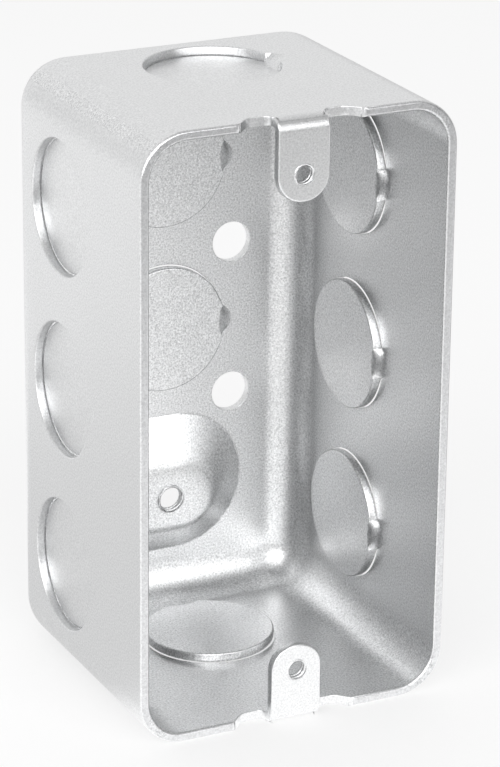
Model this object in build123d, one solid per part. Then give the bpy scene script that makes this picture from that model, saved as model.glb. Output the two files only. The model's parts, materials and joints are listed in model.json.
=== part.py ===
"""Drawn steel handy box, 4 in by 2-1/8 in face, with ears, knockouts and a raised ground boss.

One sheet, one solid. Millimetres. +X right, +Y to the back wall, +Z up; the open front faces -Y.
The origin is the middle of the footprint, and the box stands on its lower end wall.
"""

import os

from build123d import *

# Sheet and shell
SHEET = 1.5875
WIDTH = 54.4
HEIGHT = 101.6
DEPTH = 52.4
CORNER_R = 7.94
RIM_EASE = 0.3

# Ears for the cover or device screws, bent in just proud of the rim; their holes are 83.34 apart
EAR_HOLE_FROM_END = 9.13
EAR_HOLE_R = 1.75
EAR_WIDTH = 8.9
EAR_END_FLAT = 0.3
EAR_BEND_INNER_R = 0.6
EAR_PROUD = 0.79

# Relief notches sheared into the rim beside each ear, as wide as to the middle of their sloping
# ends; the slope's upper rounding runs out a little before the rim
NOTCH_WIDTH = 5.15
NOTCH_DEPTH = 2.4
NOTCH_SLOPE_RUN = 2.4
NOTCH_ROUND_R = 2.0
NOTCH_RUNOUT = 0.02
EAR_ROOT_R = 1.2

# Knockouts, half-inch trade size, pushed in and each left on one tie
KO_R = 11.1125
KO_GAP = 0.15
KO_PUSH = 1.5
KO_SIDE_FROM_BACK = 21.5
KO_SIDE_FROM_END = 20.05
KO_END_FROM_BACK = 20.5
KO_BACK_FROM_TOP = 21.6

# The tie: half its length along the cut, its stations as shares of that, its reach into the disc
# and the wall, and its lap
TIE_HALF = 2.7
TIE_STATIONS = (-1, -0.5, 0, 0.5, 1)
TIE_INWARD = 1.2
TIE_OUTWARD = 1.9
TIE_LAP = 0.12

# Mounting holes in the back wall, about its middle
BACK_HOLE_R = 3.5
BACK_HOLE_X = 12.85
BACK_HOLE_Z = 13.55

# Raised ground boss low on the back wall
BOSS_FROM_BOTTOM = 22.4
BOSS_STRAIGHT = 4.6
BOSS_FOOT_R = 12.4
BOSS_TOP_R = 5.5
BOSS_RISE = 3.5
BOSS_EDGE_R = 2.4
GROUND_FROM_BOTTOM = 20.6
GROUND_HOLE_R = 2.42

# How far a cutter runs past the sheet, a drill's length, and how near counts as the same place
CUT_PAST = 1.0
DRILL_LENGTH = 20.0
SAME_PLACE = 0.01

FRONT_Y = -(DEPTH + EAR_PROUD) / 2
RIM_Y = FRONT_Y + EAR_PROUD
BACK_Y = RIM_Y + DEPTH
MID_Z = HEIGHT / 2
EAR_HOLE_Z = HEIGHT - EAR_HOLE_FROM_END
EAR_TIP_Z = EAR_HOLE_Z - EAR_WIDTH / 2


def rounded_block(width, height, radius, front, back):
    """A block with round corners, and the same rounding along its back edges."""
    block = Pos(0, (front + back) / 2, MID_Z) * Box(width, back - front, height)
    edges = block.edges().filter_by(Axis.Y) + block.faces().sort_by(Axis.Y)[-1].edges()
    return fillet(edges, radius)


def shell():
    """The plain drawn box: rounded corners, rounded back edge, open front, eased rim."""
    outer = rounded_block(WIDTH, HEIGHT, CORNER_R, RIM_Y, BACK_Y)
    inner_width = WIDTH - 2 * SHEET
    inner_height = HEIGHT - 2 * SHEET
    inner = rounded_block(inner_width, inner_height, CORNER_R - SHEET, RIM_Y - CUT_PAST, BACK_Y - SHEET)
    drawn = outer - inner
    return chamfer(drawn.faces().sort_by(Axis.Y)[0].edges(), RIM_EASE)


def polygon(*corners):
    """A flat face through the given corners."""
    return Face(Wire.make_polygon(corners, close=True))


def tie_stations():
    """Stations along the tie: place along the cut, inner edge and outer edge of the ramp."""
    stations = []
    for share in TIE_STATIONS:
        side = TIE_HALF * share
        circle = (KO_R ** 2 - side ** 2) ** 0.5
        inner = circle - KO_GAP - TIE_LAP - TIE_INWARD * (1 - share ** 2)
        outer = circle + TIE_LAP + TIE_OUTWARD * (1 - share ** 2)
        stations.append((side, inner, outer))
    return stations


def tie_ramp():
    """The lens that ramps from the wall to the pushed-in disc, in flat facets."""
    rungs = []
    for side, inner, outer in tie_stations():
        rungs.append((Vector(outer, side, 0), Vector(inner, side, KO_PUSH)))
    up = Vector(0, 0, SHEET)
    faces = []
    for here, there in zip(rungs, rungs[1:]):
        for corners in ((here[0], here[1], there[1]), (here[0], there[1], there[0])):
            faces.append(polygon(*corners))
            faces.append(polygon(*[corner + up for corner in corners]))
        for border in (0, 1):
            faces.append(polygon(here[border], there[border], there[border] + up, here[border] + up))
    for end in (rungs[0], rungs[-1]):
        faces.append(polygon(end[0], end[1], end[1] + up, end[0] + up))
    return Solid(Shell(faces))


def tie_window():
    """What the ramp replaces, in the wall and in the disc."""
    stations = tie_stations()
    plan = [(inner, side, -CUT_PAST) for side, inner, outer in stations]
    plan += [(outer, side, -CUT_PAST) for side, inner, outer in reversed(stations)]
    return extrude(polygon(*plan), KO_PUSH + SHEET + 2 * CUT_PAST, dir=(0, 0, 1))


def add_knockout(body, middle, inward, tie):
    """Punch one knockout: a round cut, its disc set inward, and the tie that holds it."""
    place = Plane(origin=middle, x_dir=tie, z_dir=inward)
    window = tie_window()
    hole = Pos(0, 0, SHEET / 2) * Cylinder(KO_R, SHEET + CUT_PAST)
    disc = Pos(0, 0, KO_PUSH + SHEET / 2) * Cylinder(KO_R - KO_GAP, SHEET)
    body = body - place * hole - place * window
    return body + place * (disc - window) + place * tie_ramp()


def add_knockouts(body):
    """Three knockouts in each side wall, one in each end wall and two in the back."""
    side_y = BACK_Y - KO_SIDE_FROM_BACK
    end_y = BACK_Y - KO_END_FROM_BACK
    for z in (KO_SIDE_FROM_END, MID_Z, HEIGHT - KO_SIDE_FROM_END):
        for side in (-1, 1):
            middle = (side * WIDTH / 2, side_y, z)
            body = add_knockout(body, middle, inward=(-side, 0, 0), tie=(0, -1, 0))
    body = add_knockout(body, (0, end_y, HEIGHT), inward=(0, 0, -1), tie=(1, 0, 0))
    body = add_knockout(body, (0, end_y, 0), inward=(0, 0, 1), tie=(0, 1, 0))
    for z in (MID_Z, HEIGHT - KO_BACK_FROM_TOP):
        body = add_knockout(body, (0, BACK_Y, z), inward=(0, -1, 0), tie=(1, 0, 0))
    return body


def boss_outline(depth, z, end_r):
    """The boss's round-ended outline, at a depth in from the back and a height above the foot."""
    place = Plane(origin=(0, BACK_Y - depth, z), x_dir=(1, 0, 0), z_dir=(0, -1, 0))
    return place * SlotCenterToCenter(BOSS_STRAIGHT, 2 * end_r)


def boss_form(depth):
    """The tapered hump, with its foot at a depth in from the back."""
    foot = boss_outline(depth, BOSS_FROM_BOTTOM, BOSS_FOOT_R)
    top = boss_outline(depth + BOSS_RISE, GROUND_FROM_BOTTOM, BOSS_TOP_R)
    return loft([foot, top], ruled=True)


def add_boss(body):
    """Raise the ground boss: a hump inside and the matching dent outside."""
    hump = boss_form(SHEET)
    hump = fillet(hump.faces().sort_by(Axis.Y)[0].edges(), BOSS_EDGE_R)
    return body + hump - boss_form(0)


def drill(body, radius, x, y, z):
    """A round hole through the sheet, front to back."""
    return body - Pos(x, y, z) * Rot(90, 0, 0) * Cylinder(radius, DRILL_LENGTH)


def drill_back(body):
    """The ground screw's hole through the boss, and the four mounting holes."""
    body = drill(body, GROUND_HOLE_R, 0, BACK_Y, GROUND_FROM_BOTTOM)
    for side in (-1, 1):
        for rise in (-1, 1):
            body = drill(body, BACK_HOLE_R, side * BACK_HOLE_X, BACK_Y, MID_Z + rise * BACK_HOLE_Z)
    return body


def edges_at(part, axis, **place):
    """Edges along an axis whose middle has the given coordinates, on either side of zero."""
    found = part.edges().filter_by(axis)
    for name, value in place.items():
        found = [e for e in found if abs(abs(getattr(e.center(), name)) - abs(value)) < SAME_PLACE]
    return found


def ear_strip():
    """The upper ear, untrimmed: its flat root in the wall, and that root bent down before the rim."""
    width = EAR_WIDTH + NOTCH_WIDTH
    reach = EAR_PROUD + NOTCH_DEPTH + SHEET + EAR_BEND_INNER_R
    root = Pos(0, FRONT_Y + reach / 2, HEIGHT - SHEET / 2) * Box(width, reach, SHEET)
    drop = Pos(0, FRONT_Y + SHEET / 2, (HEIGHT + EAR_TIP_Z) / 2) * Box(width, SHEET, HEIGHT - EAR_TIP_Z)
    strip = root + drop
    strip = fillet(edges_at(strip, Axis.X, Y=FRONT_Y, Z=HEIGHT), EAR_BEND_INNER_R + SHEET)
    strip = fillet(edges_at(strip, Axis.X, Y=FRONT_Y + SHEET, Z=HEIGHT - SHEET), EAR_BEND_INNER_R)
    return root, strip


def notch_cutter():
    """What is sheared away on the right of the upper ear, with a rounded slope at its far end."""
    near = EAR_WIDTH / 2
    slope_foot = near + NOTCH_WIDTH - NOTCH_SLOPE_RUN / 2
    slope_top = slope_foot + NOTCH_SLOPE_RUN
    far = slope_top + NOTCH_ROUND_R
    front = FRONT_Y - CUT_PAST
    floor = RIM_Y + NOTCH_DEPTH
    rim = RIM_Y - NOTCH_RUNOUT
    low = EAR_TIP_Z - CUT_PAST
    plan = [(near, front), (near, floor), (slope_foot, floor), (slope_top, rim), (far, rim), (far, front)]
    block = extrude(polygon(*[(x, y, low) for x, y in plan]), HEIGHT + CUT_PAST - low, dir=(0, 0, 1))
    slope_edges = edges_at(block, Axis.Z, X=slope_foot, Y=floor) + edges_at(block, Axis.Z, X=slope_top, Y=rim)
    block = fillet(slope_edges, NOTCH_ROUND_R)
    return fillet(edges_at(block, Axis.Z, X=near, Y=floor), EAR_ROOT_R)


def add_ears(body):
    """Bend both ears in from the rim, shear their notches and drill them."""
    root, strip = ear_strip()
    cutter = notch_cutter()
    cutters = cutter + mirror(cutter, about=Plane.YZ)
    tip_corners = edges_at(strip - cutters, Axis.Y, X=EAR_WIDTH / 2, Z=EAR_TIP_Z)
    ear = fillet(tip_corners, (EAR_WIDTH - EAR_END_FLAT) / 2)
    body = body - root - cutters + ear
    middle = Plane.XY.offset(MID_Z)
    body = body - mirror(root, about=middle) - mirror(cutters, about=middle) + mirror(ear, about=middle)
    for z in (EAR_HOLE_FROM_END, EAR_HOLE_Z):
        body = drill(body, EAR_HOLE_R, 0, FRONT_Y, z)
    return body


box = shell()
box = add_knockouts(box)
box = add_boss(box)
box = drill_back(box)
box = add_ears(box)

os.makedirs("parts", exist_ok=True)
export_step(box, "parts/handy_box.step")
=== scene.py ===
"""Looks for the drawn handy box: softened sheet edges, tapped threads, zinc finish, white studio."""

import json
from math import pi, radians, sqrt, tau

import bmesh
import bpy
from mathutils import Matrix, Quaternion, Vector


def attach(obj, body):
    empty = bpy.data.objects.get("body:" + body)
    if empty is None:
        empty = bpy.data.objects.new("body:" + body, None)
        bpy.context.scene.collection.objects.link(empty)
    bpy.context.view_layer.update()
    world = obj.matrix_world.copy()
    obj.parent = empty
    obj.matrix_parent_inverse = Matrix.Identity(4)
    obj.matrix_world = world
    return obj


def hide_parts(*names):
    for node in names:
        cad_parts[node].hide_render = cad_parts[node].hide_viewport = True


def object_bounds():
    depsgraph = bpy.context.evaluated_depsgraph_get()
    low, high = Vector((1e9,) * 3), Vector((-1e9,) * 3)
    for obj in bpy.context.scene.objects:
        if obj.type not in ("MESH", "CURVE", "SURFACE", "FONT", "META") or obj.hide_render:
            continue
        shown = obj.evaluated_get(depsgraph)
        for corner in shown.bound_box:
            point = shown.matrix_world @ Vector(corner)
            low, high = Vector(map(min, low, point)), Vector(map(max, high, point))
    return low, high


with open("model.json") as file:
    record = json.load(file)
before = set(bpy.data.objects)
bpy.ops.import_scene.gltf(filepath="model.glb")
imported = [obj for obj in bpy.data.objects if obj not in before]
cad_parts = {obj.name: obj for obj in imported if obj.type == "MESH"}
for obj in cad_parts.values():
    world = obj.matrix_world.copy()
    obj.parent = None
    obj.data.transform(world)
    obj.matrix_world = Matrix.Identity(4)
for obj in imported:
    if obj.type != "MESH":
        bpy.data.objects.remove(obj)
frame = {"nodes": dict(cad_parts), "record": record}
cad_low, cad_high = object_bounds()

MM = 0.001
mounts = {mount["name"]: mount for mount in frame["record"]["mounts"]}
knockouts = [(Vector(mount["pos_m"]), (-Vector(mount["axis"])).to_track_quat("Z", "Y"))
             for name, mount in mounts.items() if name.startswith("knockout_")]
ear_screws = mounts["ear_screws"]
ground_screw = mounts["ground_screw"]

# The box itself, read from the frame
FRONT_Y = cad_low.y
BACK_Y = cad_high.y
HEIGHT = cad_high.z
SHEET = ground_screw["dims"]["length_mm"] * MM

# Knockouts and the lens-shaped tie that holds each disc
KNOCKOUT_R = 11.1125 * MM
DISC_R = 10.9625 * MM
DISC_PUSH = 1.5 * MM
TIE_REACH = 2.4 * MM
TIE_HALF = 2.7 * MM
TIE_OUTWARD = 1.9 * MM
TIE_INWARD = 1.2 * MM
TIE_END_OUT = 0.12 * MM
TIE_END_IN = 0.27 * MM
TIE_FADE = 1.6 * MM
TIE_CUTS = 5
ARC_CUTS = 3
ARC_SAG = 0.02 * MM
TIE_EDGE = 0.005 * MM
TIE_TIP = 0.05

# How squarely a face at a knockout looks along the push: cuts less, flat faces more, ramps between
CUT_FACING = 0.15
FLAT_FACING = 0.985
MOSTLY_FACING = 0.5

# Ground boss: its foot and its top are round-ended slots, and its top edge turns softly
BOSS_FOOT_Z = 22.4 * MM
BOSS_FOOT_R = 12.4 * MM
BOSS_TOP_Z = 20.6 * MM
BOSS_TOP_R = 5.5 * MM
BOSS_HALF = 2.3 * MM
BOSS_RISE = 3.5 * MM
BOSS_SOFT = 0.7 * MM
BOSS_CUTS = 3

# Ears: half their width, and the middle of their bend, in from the front and the end
EAR_HALF = 4.45 * MM
EAR_BEND = 2.19 * MM
EAR_PROUD = 0.79 * MM
EAR_ZONE_DEEP = 3.0 * MM
EAR_ZONE_TALL = 15.0 * MM

# Edges of the sheet. The widest softening is the modifier's width, and the rest are shares of it
EDGE_WIDEST = 0.4 * MM
EDGE_SHEARED = 0.14 * MM
EDGE_ROLLED = 0.3 * MM
EDGE_EAR = 0.4 * MM
EDGE_HOLE = 0.08 * MM
EDGE_BOSS = 0.2 * MM
EDGE_LIP = 0.18 * MM
EDGE_TORN = 0.25 * MM
EDGE_SHORT = 0.15 * MM
EDGE_SEGMENTS = 3
EDGE_ANGLE = radians(18)
SHEAR_ANGLE = radians(60)
FLAT_ANGLE = radians(0.3)
MERGE = 1e-6
TOUCH = 1e-7
NEAR = 0.05 * MM

# Zinc: a fine grain, real on both skins; its contrast is painted stronger on the inside, as painted shade
# for the dim interior reflections
GRAIN_SCALE = 3200.0
GRAIN_DETAIL = 2.0
GRAIN_ROUGHNESS = 0.7
GRAIN_DEPTH = 0.04 * MM
GRAIN_DARK = (0.50, 0.504, 0.508, 1)
GRAIN_BRIGHT = (0.98, 0.985, 0.99, 1)
GRAIN_OUTSIDE = 1.2
GRAIN_INSIDE_SHADED = 2.5
SKIN = SHEET - NEAR
CLOUD_SCALE = 90.0
CLOUD_DETAIL = 3.0
SHEEN_BRIGHT = 0.28
SHEEN_DULL = 0.38

# The rim's trimmed edge shows bare steel, a little darker than the zinc
RIM_Y = FRONT_Y + EAR_PROUD
RIM_BAND = 0.1 * MM
BARE_STEEL = (0.84, 0.84, 0.845, 1)

# Tapped threads: 6-32 in the ears, 10-32 in the ground boss
THREAD_PITCH = 0.794 * MM
THREAD_STEPS = 32
THREAD_ROOT = 0.06 * MM
THREAD_ROOT_HALF = 0.47 * THREAD_PITCH
THREAD_CREST_HALF = 0.08 * THREAD_PITCH
EAR_THREAD_CREST = 1.42 * MM
GROUND_THREAD_CREST = 2.03 * MM

# Camera, fitted to the photograph's own frame of 500 by 767 pixels
PHOTO_WIDTH = 500
PHOTO_HEIGHT = 767
FOCAL_PX = 3415.3
CENTRE_PX = (244.3, 378.4)
CAMERA_AZIMUTH = radians(-26.26)
CAMERA_ELEVATION = radians(20.69)
CAMERA_ROLL = radians(0.56)
CAMERA_DISTANCE = 558.36 * MM
CAMERA_TARGET = Vector((2.8, -0.8, 49.99)) * MM
SENSOR = 36.0
CLIP_NEAR = 0.01
CLIP_FAR = 100.0

# Studio: a white room, brighter behind the box, one wide soft lamp behind the camera, and a white table
# that shows a painted reflection in the zinc
ROOM_LEVEL = 0.56
ROOM_SLOPE = (0.0, 0.41, 0.12)
LAMP_LEVEL = 2.4
LAMP_WIDTH = 2.9
LAMP_HEIGHT = 1.2
LAMP_FOOT = 0.2
LAMP_DISTANCE = 1.05
LAMP_AZIMUTH = radians(246)
FLOOR_SIZE = 3.0
FLOOR_COLOUR = (0.95, 0.95, 0.95, 1)
FLOOR_ROUGHNESS = 0.9
FLOOR_GLOW = 0.6
# Painted reflection: the levels at which the table glows to the zinc, above white just in front, darker
# near the box as a painted shadow, a painted strip behind, dimmer to the right
FLOOR_FRONT = 1.38
FLOOR_FRONT_FAR = 0.2
FLOOR_FALL = 0.5
FLOOR_BESIDE = 0.86
FLOOR_FAR = 1.0
FLOOR_BESIDE_R = 0.05
FLOOR_FAR_R = 0.3
FLOOR_BEHIND = 0.5
FLOOR_BEHIND_SLANT = (1.0, 0.487, 0.0)
FLOOR_BEHIND_LEFT = (0.005, 0.02)
FLOOR_BEHIND_RIGHT = (0.03, 0.05)
FLOOR_RIGHT = 0.4
FLOOR_RIGHT_X = 0.15


def new_piece(name, bm):
    """An object from a bmesh, at the origin, linked to the scene."""
    for face in bm.faces:
        face.smooth = True
    mesh = bpy.data.meshes.new(name)
    bm.to_mesh(mesh)
    bm.free()
    piece = bpy.data.objects.new(name, mesh)
    bpy.context.scene.collection.objects.link(piece)
    return piece


def dress(piece):
    """Put a piece on the box."""
    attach(piece, "root")


def once(items):
    """The items in the order that they come in, each once."""
    return list(dict.fromkeys(items))


def sheet_copy(node):
    """The solid's own form with its loose triangles joined and its flat faces whole."""
    bm = bmesh.new()
    bm.from_mesh(node.data)
    bmesh.ops.remove_doubles(bm, verts=bm.verts, dist=MERGE)
    bmesh.ops.dissolve_limit(bm, angle_limit=FLAT_ANGLE, verts=bm.verts, edges=bm.edges)
    return bm


def at_cut(point):
    """The knockout whose cut is near a point, and the point as seen from it, depth along Z, or None."""
    for place, turn in knockouts:
        local = turn.inverted() @ (point - place)
        if abs(local.xy.length - KNOCKOUT_R) < TIE_REACH and -NEAR < local.z < DISC_PUSH + SHEET + NEAR:
            return (place, turn), local
    return None


def on_arc(edge):
    """Whether an edge lies on the round cut of a wall or a disc."""
    found = at_cut((edge.verts[0].co + edge.verts[1].co) / 2)
    if found is None or edge.calc_length() > DISC_R / 2:
        return False
    place, turn = found[0]
    first, second = (turn.inverted() @ (vert.co - place) for vert in edge.verts)
    radius = first.xy.length
    return (abs(first.z - second.z) < NEAR and abs(radius - second.xy.length) < NEAR / 2
            and min(abs(radius - KNOCKOUT_R), abs(radius - DISC_R)) < NEAR / 2)


def in_cut(face):
    """Whether a face is the sheared side of a knockout's cut, square to wall and disc."""
    found = at_cut(face.calc_center_median())
    return found is not None and abs(face.normal.dot(found[0][1] @ Vector((0, 0, 1)))) < CUT_FACING


def cut_finer(bm, belongs, splits, cuts):
    """Cut the faces that belong finer along the edges that split; faces beside them only gain points."""
    bmesh.ops.split(bm, geom=[face for face in bm.faces if belongs(face)])
    beside = [edge for edge in bm.edges
              if edge.is_boundary and splits(edge) and not belongs(edge.link_faces[0])]
    bmesh.ops.bisect_edges(bm, edges=beside, cuts=cuts)
    within = once(edge for face in bm.faces if belongs(face) for edge in face.edges if splits(edge))
    bmesh.ops.subdivide_edges(bm, edges=within, cuts=cuts, use_grid_fill=True)
    bmesh.ops.remove_doubles(bm, verts=bm.verts, dist=MERGE)
    bm.normal_update()


def round_cuts(bm):
    """Give the knockouts' round cuts more steps, each on the true circle."""
    cut_finer(bm, in_cut, on_arc, ARC_CUTS)
    for vert in bm.verts:
        found = at_cut(vert.co)
        if found is not None:
            (place, turn), local = found
            radius = KNOCKOUT_R if local.xy.length > (KNOCKOUT_R + DISC_R) / 2 else DISC_R
            if abs(local.xy.length - radius) < ARC_SAG:
                local.xy *= radius / local.xy.length
                vert.co = place + turn @ local


def on_ramp(face):
    """Whether a face belongs to the ramp of a tie, between wall and disc."""
    found = at_cut(face.calc_center_median())
    if found is None:
        return False
    return CUT_FACING < abs(face.normal.dot(found[0][1] @ Vector((0, 0, 1)))) < FLAT_FACING


def soften_ties(bm):
    """Turn each tie's straight ramp, inside and outside, into a soft S; gives the ties' ends."""
    edges = once(edge for face in bm.faces if on_ramp(face) for edge in face.edges)
    bmesh.ops.dissolve_degenerate(bm, dist=NEAR, edges=edges)
    bmesh.ops.delete(bm, geom=[edge for edge in bm.edges if edge.is_wire], context="EDGES")
    ramps = [face for face in bm.faces if on_ramp(face)]
    toward = {}
    tips = []
    for vert in once(vert for face in ramps for vert in face.verts):
        (place, turn), local = at_cut(vert.co)
        toward[tuple(place)] = toward.get(tuple(place), Vector((0, 0))) + local.xy
        if abs(local.xy.length - KNOCKOUT_R) < TIE_END_IN + NEAR:
            tips.append(vert.co.copy())
    bmesh.ops.triangulate(bm, faces=ramps)
    bm.normal_update()
    cut_finer(bm, on_ramp, lambda edge: True, TIE_CUTS)
    for vert in once(vert for face in bm.faces if on_ramp(face) for vert in face.verts):
        (place, turn), local = at_cut(vert.co)
        ease_tie_point(local, toward[tuple(place)].normalized())
        vert.co = place + turn @ local
    return tips


def ease_tie_point(local, toward):
    """Move a point of a tie's ramp, seen from its knockout, onto the soft S; leave any other point."""
    across = Vector((-toward.y, toward.x))
    aside = local.xy.dot(across)
    along = local.xy.dot(toward)
    if along < 0 or abs(aside) > TIE_HALF + TIE_EDGE:
        return
    fullness = 1 - (aside / TIE_HALF) ** 2
    circle = sqrt(KNOCKOUT_R ** 2 - aside ** 2)
    outer = circle + TIE_END_OUT + TIE_OUTWARD * fullness
    inner = circle - TIE_END_IN - TIE_INWARD * fullness
    skin = 0.0 if local.z < (DISC_PUSH + SHEET) / 2 else SHEET
    depth = local.z - skin
    if NEAR < depth < DISC_PUSH - NEAR:
        share = min(max((outer - along) / (outer - inner), 0.0), 1.0)
        local.z = skin + DISC_PUSH * share * share * (3 - 2 * share)
    elif fullness > TIE_TIP:
        border = outer if depth < DISC_PUSH / 2 else inner
        if abs(border - along) < TIE_END_IN:
            local.xy = across * aside + toward * border


def boss_share(point):
    """How far up the boss's slope a point lies: 0 at the foot, 1 at the top edge, more on the top."""
    slide = BOSS_FOOT_Z - BOSS_TOP_Z
    shrink = BOSS_FOOT_R - BOSS_TOP_R
    aside = max(abs(point.x) - BOSS_HALF, 0.0)
    above = point.z - BOSS_FOOT_Z
    square = slide ** 2 - shrink ** 2
    middle = above * slide + BOSS_FOOT_R * shrink
    rest = aside ** 2 + above ** 2 - BOSS_FOOT_R ** 2
    return (sqrt(max(middle ** 2 - square * rest, 0.0)) - middle) / square


def on_boss(point):
    """Whether a point lies on the boss or in its dent, within the foot's outline."""
    return point.y > BACK_Y - SHEET - BOSS_RISE - NEAR and boss_share(point) > NEAR / BOSS_RISE


def soften_boss(bm):
    """Turn the boss's top edge, inside and in the dent, into one soft round."""
    ground = Vector(ground_screw["pos_m"])
    bore = ground_screw["dims"]["r_mm"] * MM + NEAR
    faces = [face for face in bm.faces
             if on_boss(face.calc_center_median()) and abs(face.normal.y) > MOSTLY_FACING]
    faces = bmesh.ops.triangulate(bm, faces=faces)["faces"]
    edges = once(edge for face in faces for edge in face.edges
                 if max((vert.co - ground).xz.length for vert in edge.verts) > bore)
    bmesh.ops.subdivide_edges(bm, edges=edges, cuts=BOSS_CUTS, use_grid_fill=True)
    for vert in bm.verts:
        if on_boss(vert.co):
            height = BOSS_RISE * boss_share(vert.co)
            inside = vert.co.y < BACK_Y - min(height, BOSS_RISE) - SHEET / 2
            over = min(max(height - BOSS_RISE + BOSS_SOFT, 0.0), 2 * BOSS_SOFT)
            height = min(height, BOSS_RISE + BOSS_SOFT) - over ** 2 / (4 * BOSS_SOFT)
            vert.co.y = BACK_Y - height - (SHEET if inside else 0.0)


def in_ear_zone(point):
    """Whether a point belongs to an ear, its bend or its root."""
    from_end = min(point.z, HEIGHT - point.z)
    return (abs(point.x) < EAR_HALF + NEAR and point.y < FRONT_Y + EAR_ZONE_DEEP
            and from_end < EAR_ZONE_TALL)


def on_ear_outside(face):
    """Whether a face belongs to the ears' outer skin, away from the middle of the bend."""
    middle = face.calc_center_median()
    end = 1 if middle.z > HEIGHT / 2 else -1
    bend_z = HEIGHT / 2 + end * (HEIGHT / 2 - EAR_BEND)
    from_bend = Vector((0, middle.y - FRONT_Y - EAR_BEND, middle.z - bend_z))
    return abs(face.normal.x) < MOSTLY_FACING and face.normal.dot(from_bend) > EAR_BEND / 2


def ear_hole_distance(point):
    """How far a point is from the axis of the nearer ear hole."""
    spacing = ear_screws["dims"]["spacing_y_mm"] * MM
    hole_z = (HEIGHT + spacing) / 2 if point.z > HEIGHT / 2 else (HEIGHT - spacing) / 2
    return Vector((point.x, point.z - hole_z)).length


def softening(edge, tips):
    """How wide an edge is softened, by what made it: shear, roll-over, fold or press."""
    angle = edge.calc_face_angle()
    middle = (edge.verts[0].co + edge.verts[1].co) / 2
    if angle < EDGE_ANGLE:
        return 0.0
    cut = at_cut(middle)
    if cut is not None:
        if not on_arc(edge):
            return 0.0
        depth = cut[1].z
        fade = min(1.0, min((tip - middle).length for tip in tips) / TIE_FADE)
        if depth < NEAR or depth > DISC_PUSH + SHEET - NEAR:
            return EDGE_ROLLED * fade
        return (EDGE_LIP if depth > SHEET - NEAR / 2 else EDGE_TORN) * fade
    if edge.calc_length() < EDGE_SHORT and not in_ear_zone(middle):
        return 0.0
    if in_ear_zone(middle) and angle > SHEAR_ANGLE:
        if ear_hole_distance(middle) < EAR_HALF / 2:
            return EDGE_HOLE
        if any(on_ear_outside(face) for face in edge.link_faces):
            return EDGE_EAR
    if middle.y > BACK_Y - SHEET - NEAR and angle < SHEAR_ANGLE:
        return EDGE_BOSS
    return EDGE_SHEARED


def drawn_box():
    """The box with its sheared, folded and pressed edges softened."""
    bm = sheet_copy(frame["nodes"]["handy_box"])
    round_cuts(bm)
    tips = soften_ties(bm)
    soften_boss(bm)
    weights = bm.edges.layers.float.new("bevel_weight_edge")
    for edge in bm.edges:
        width = softening(edge, tips)
        edge[weights] = width / EDGE_WIDEST
        edge.smooth = width > 0 or edge.calc_face_angle() < EDGE_ANGLE
    piece = new_piece("drawn_box", bm)
    bevel = piece.modifiers.new("soft_edges", "BEVEL")
    bevel.limit_method = "WEIGHT"
    bevel.width = EDGE_WIDEST
    bevel.segments = EDGE_SEGMENTS
    bevel.profile = 0.5
    bevel.use_clamp_overlap = False
    bevel.loop_slide = False
    bevel.harden_normals = True
    bevel.miter_outer = "MITER_ARC"
    normals = piece.modifiers.new("even_normals", "WEIGHTED_NORMAL")
    normals.keep_sharp = True
    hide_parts("handy_box")
    dress(piece)
    return piece


def tapped_thread(name, place, bore_r, crest_r):
    """The ridge of a thread, turned up inside a bore through the sheet and cut off at its faces."""
    bm = bmesh.new()
    turns = int(SHEET / THREAD_PITCH) + 2
    start_y = place.y - turns * THREAD_PITCH / 2
    section = ((bore_r + THREAD_ROOT, -THREAD_ROOT_HALF), (crest_r, -THREAD_CREST_HALF),
               (crest_r, THREAD_CREST_HALF), (bore_r + THREAD_ROOT, THREAD_ROOT_HALF))
    corners = [bm.verts.new((place.x + radius, start_y + along, place.z)) for radius, along in section]
    bm.faces.new(corners)
    steps = turns * THREAD_STEPS
    bmesh.ops.spin(bm, geom=bm.verts[:] + bm.edges[:] + bm.faces[:], cent=place, axis=(0, 1, 0),
                   dvec=(0, THREAD_PITCH / THREAD_STEPS, 0), angle=turns * tau, steps=steps)
    for side in (-1, 1):
        bmesh.ops.bisect_plane(bm, geom=bm.verts[:] + bm.edges[:] + bm.faces[:], dist=TOUCH,
                               plane_co=(0, place.y + side * SHEET / 2, 0), plane_no=(0, side, 0),
                               clear_outer=True)
        open_edges = [edge for edge in bm.edges if edge.is_boundary]
        bmesh.ops.holes_fill(bm, edges=open_edges, sides=0)
    bmesh.ops.recalc_face_normals(bm, faces=bm.faces)
    piece = new_piece(name, bm)
    dress(piece)
    return piece


def tapped_threads():
    """Threads in both ears and in the ground boss."""
    spacing = ear_screws["dims"]["spacing_y_mm"] * MM
    ear_bore = ear_screws["dims"]["hole_r_mm"] * MM
    pieces = []
    for name, side in (("upper_ear_thread", 1), ("lower_ear_thread", -1)):
        place = Vector(ear_screws["pos_m"]) + Vector((0, SHEET / 2, side * spacing / 2))
        pieces.append(tapped_thread(name, place, ear_bore, EAR_THREAD_CREST))
    ground = Vector(ground_screw["pos_m"])
    ground_bore = ground_screw["dims"]["r_mm"] * MM
    pieces.append(tapped_thread("ground_thread", ground, ground_bore, GROUND_THREAD_CREST))
    return pieces


def node_of(tree, kind, **inputs):
    """A shader node with its inputs set or linked."""
    node = tree.nodes.new(kind)
    for name, value in inputs.items():
        socket = node.inputs[name.replace("_", " ")]
        if isinstance(value, bpy.types.NodeSocket):
            tree.links.new(value, socket)
        else:
            socket.default_value = value
    return node


def math_of(tree, operation, *values):
    """A math node's result."""
    node = tree.nodes.new("ShaderNodeMath")
    node.operation = operation
    for socket, value in zip(node.inputs, values):
        if isinstance(value, bpy.types.NodeSocket):
            tree.links.new(value, socket)
        else:
            socket.default_value = value
    return node.outputs[0]


def graded(tree, value, start, end, first, last):
    """A level that passes softly from first to last while a value goes from start to end."""
    node = node_of(tree, "ShaderNodeMapRange", Value=value, From_Min=start, From_Max=end,
                   To_Min=first, To_Max=last)
    node.interpolation_type = "SMOOTHSTEP"
    return node.outputs["Result"]


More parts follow.
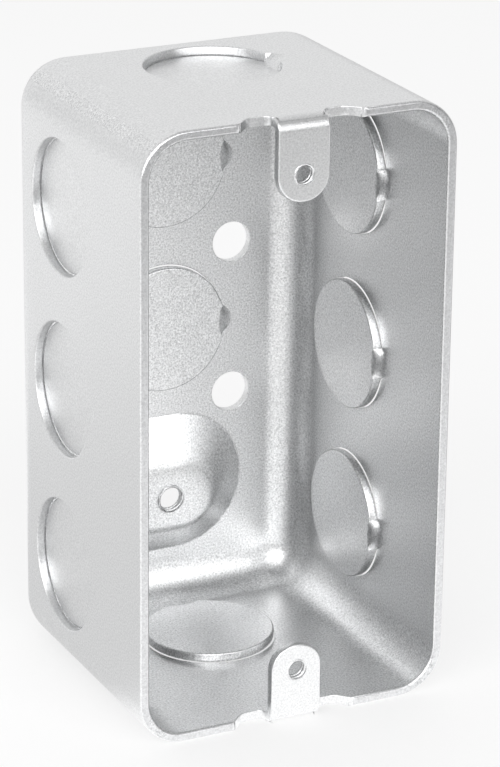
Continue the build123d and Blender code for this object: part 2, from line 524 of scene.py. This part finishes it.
def galvanised_steel():
    """Zinc on steel: metal grey, a fine bright and dark grain, and a dull sheen that varies a little."""
    material = bpy.data.materials.new("galvanised_steel")
    material.use_nodes = True
    tree = material.node_tree
    shader = tree.nodes["Principled BSDF"]
    shader.inputs["Metallic"].default_value = 1.0
    place = tree.nodes.new("ShaderNodeTexCoord").outputs["Object"]
    grain = node_of(tree, "ShaderNodeTexNoise", Vector=place, Scale=GRAIN_SCALE,
                    Detail=GRAIN_DETAIL, Roughness=GRAIN_ROUGHNESS)
    cloud = node_of(tree, "ShaderNodeTexNoise", Vector=place, Scale=CLOUD_SCALE, Detail=CLOUD_DETAIL)
    sides = node_of(tree, "ShaderNodeSeparateXYZ", Vector=place).outputs
    # Painted shade: the grain's contrast is raised on the inner skin of the box
    inside_x = math_of(tree, "COMPARE", sides["X"], 0.0, cad_high.x - SKIN)
    inside_y = math_of(tree, "COMPARE", sides["Y"], -EAR_PROUD / 2, BACK_Y - SKIN + EAR_PROUD / 2)
    inside_z = math_of(tree, "COMPARE", sides["Z"], HEIGHT / 2, HEIGHT / 2 - SKIN)
    inside = math_of(tree, "MINIMUM", inside_x, math_of(tree, "MINIMUM", inside_y, inside_z))
    grain_spread_shaded = math_of(tree, "MULTIPLY_ADD", inside, GRAIN_INSIDE_SHADED - GRAIN_OUTSIDE, GRAIN_OUTSIDE)
    even = math_of(tree, "SUBTRACT", grain.outputs["Fac"], 0.5)
    tone = node_of(tree, "ShaderNodeValToRGB", Fac=math_of(tree, "MULTIPLY_ADD", even, grain_spread_shaded, 0.5))
    tone.color_ramp.elements[0].color = GRAIN_DARK
    tone.color_ramp.elements[1].color = GRAIN_BRIGHT
    on_rim = math_of(tree, "COMPARE", sides["Y"], RIM_Y, RIM_BAND)
    bare = node_of(tree, "ShaderNodeMix", Factor=on_rim)
    bare.data_type = "RGBA"
    bare.blend_type = "MULTIPLY"
    tree.links.new(tone.outputs["Color"], bare.inputs["A"])
    bare.inputs["B"].default_value = BARE_STEEL
    tree.links.new(bare.outputs["Result"], shader.inputs["Base Color"])
    rough = node_of(tree, "ShaderNodeMapRange", Value=cloud.outputs["Fac"],
                    To_Min=SHEEN_BRIGHT, To_Max=SHEEN_DULL)
    tree.links.new(rough.outputs["Result"], shader.inputs["Roughness"])
    bump = node_of(tree, "ShaderNodeBump", Height=grain.outputs["Fac"], Strength=1.0, Distance=GRAIN_DEPTH)
    tree.links.new(bump.outputs["Normal"], shader.inputs["Normal"])
    return material


def white_room():
    """A white room, brighter behind the box: plain white to the camera."""
    world = bpy.data.worlds.new("white_room")
    bpy.context.scene.world = world
    world.use_nodes = True
    tree = world.node_tree
    background = tree.nodes["Background"]
    background.inputs["Color"].default_value = (1, 1, 1, 1)
    direction = tree.nodes.new("ShaderNodeTexCoord").outputs["Generated"]
    toward = tree.nodes.new("ShaderNodeVectorMath")
    toward.operation = "DOT_PRODUCT"
    tree.links.new(direction, toward.inputs[0])
    toward.inputs[1].default_value = ROOM_SLOPE
    room = math_of(tree, "ADD", toward.outputs["Value"], ROOM_LEVEL)
    path = tree.nodes.new("ShaderNodeLightPath")
    seen = math_of(tree, "MAXIMUM", path.outputs["Is Camera Ray"], path.outputs["Is Transmission Ray"])
    level = node_of(tree, "ShaderNodeMapRange", Value=seen)
    tree.links.new(room, level.inputs["To Min"])
    level.inputs["To Max"].default_value = 1.0
    tree.links.new(level.outputs["Result"], background.inputs["Strength"])


def pale_floor():
    """A wide white table with the box's shadow; to the zinc it glows as a painted reflection, brightest
    just ahead and dim further on, darker beside the box as a painted shadow, with a painted strip behind.
    """
    bm = bmesh.new()
    bmesh.ops.create_grid(bm, x_segments=1, y_segments=1, size=FLOOR_SIZE)
    piece = new_piece("floor", bm)
    material = bpy.data.materials.new("white_table")
    material.use_nodes = True
    tree = material.node_tree
    matt = tree.nodes["Principled BSDF"]
    matt.inputs["Base Color"].default_value = FLOOR_COLOUR
    matt.inputs["Roughness"].default_value = FLOOR_ROUGHNESS
    spot = tree.nodes.new("ShaderNodeTexCoord").outputs["Object"]
    away = tree.nodes.new("ShaderNodeVectorMath")
    away.operation = "LENGTH"
    tree.links.new(spot, away.inputs[0])
    sides = node_of(tree, "ShaderNodeSeparateXYZ", Vector=spot)
    ahead = sides.outputs["Y"]
    beside = graded(tree, away.outputs["Value"], FLOOR_BESIDE_R, FLOOR_FAR_R, FLOOR_BESIDE, FLOOR_FAR)
    across = tree.nodes.new("ShaderNodeVectorMath")
    across.operation = "DOT_PRODUCT"
    tree.links.new(spot, across.inputs[0])
    across.inputs[1].default_value = FLOOR_BEHIND_SLANT
    across = across.outputs["Value"]
    # Painted reflection: a brighter strip on the table behind the box
    painted_strip = graded(tree, across, *FLOOR_BEHIND_RIGHT, FLOOR_BEHIND, 0.0)
    beside = math_of(tree, "ADD", beside, graded(tree, across, *FLOOR_BEHIND_LEFT, 0.0, painted_strip))
    dim = graded(tree, sides.outputs["X"], cad_high.x, FLOOR_RIGHT_X, 1.0, FLOOR_RIGHT)
    beside = math_of(tree, "MULTIPLY", beside, dim)
    near_or_back = graded(tree, ahead, FRONT_Y, 0.0, FLOOR_FRONT, beside)
    fade = graded(tree, ahead, FRONT_Y - FLOOR_FALL, FRONT_Y, FLOOR_FRONT_FAR, 1.0)
    # Painted reflection: the table's glow as glossy rays see it
    painted_reflection = math_of(tree, "MULTIPLY", near_or_back, fade)
    # Camera rays see white at strength 1 mixed with the lit table; glossy rays see only the painted
    # reflection
    path = tree.nodes.new("ShaderNodeLightPath")
    level = node_of(tree, "ShaderNodeMapRange", Value=path.outputs["Is Camera Ray"])
    tree.links.new(painted_reflection, level.inputs["To Min"])
    level.inputs["To Max"].default_value = 1.0
    white_and_painted_glow = node_of(tree, "ShaderNodeEmission", Strength=level.outputs["Result"])
    share = math_of(tree, "MULTIPLY", path.outputs["Is Camera Ray"], FLOOR_GLOW)
    share = math_of(tree, "MAXIMUM", share, path.outputs["Is Glossy Ray"])
    both = node_of(tree, "ShaderNodeMixShader", Fac=share)
    tree.links.new(matt.outputs["BSDF"], both.inputs[1])
    tree.links.new(white_and_painted_glow.outputs["Emission"], both.inputs[2])
    tree.links.new(both.outputs["Shader"], tree.nodes["Material Output"].inputs["Surface"])
    piece.data.materials.append(material)


def soft_lamp(name, azimuth, distance, foot, width, height, level):
    """An upright soft lamp, its lower edge at foot above the table, facing the box."""
    light = bpy.data.lights.new(name, "AREA")
    light.shape = "RECTANGLE"
    light.size = width
    light.size_y = height
    light.energy = level * pi * width * height
    holder = bpy.data.objects.new(name, light)
    outward = Quaternion((0, 0, 1), azimuth) @ Vector((1, 0, 0))
    holder.location = outward * distance + Vector((0, 0, foot + height / 2))
    holder.rotation_mode = "QUATERNION"
    holder.rotation_quaternion = (-outward).to_track_quat("-Z", "Y")
    holder.visible_camera = False
    bpy.context.scene.collection.objects.link(holder)


def camera():
    """The photograph's viewpoint."""
    data = bpy.data.cameras.new("camera")
    data.sensor_width = SENSOR
    data.lens = FOCAL_PX * SENSOR / PHOTO_HEIGHT
    data.shift_x = (PHOTO_WIDTH / 2 - CENTRE_PX[0]) / PHOTO_HEIGHT
    data.shift_y = (CENTRE_PX[1] - PHOTO_HEIGHT / 2) / PHOTO_HEIGHT
    data.clip_start = CLIP_NEAR
    data.clip_end = CLIP_FAR
    holder = bpy.data.objects.new("camera", data)
    turn = Quaternion((0, 0, 1), CAMERA_AZIMUTH) @ Quaternion((1, 0, 0), pi / 2 - CAMERA_ELEVATION)
    back = turn @ Vector((0, 0, 1))
    holder.location = CAMERA_TARGET + back * CAMERA_DISTANCE
    holder.rotation_mode = "QUATERNION"
    holder.rotation_quaternion = turn @ Quaternion((0, 0, 1), CAMERA_ROLL)
    bpy.context.scene.collection.objects.link(holder)
    bpy.context.scene.camera = holder


zinc = galvanised_steel()
for piece in [drawn_box()] + tapped_threads():
    piece.data.materials.append(zinc)
white_room()
pale_floor()
soft_lamp("wide_lamp", LAMP_AZIMUTH, LAMP_DISTANCE, LAMP_FOOT, LAMP_WIDTH, LAMP_HEIGHT, LAMP_LEVEL)
camera()

bpy.context.scene.view_settings.view_transform = "Standard"
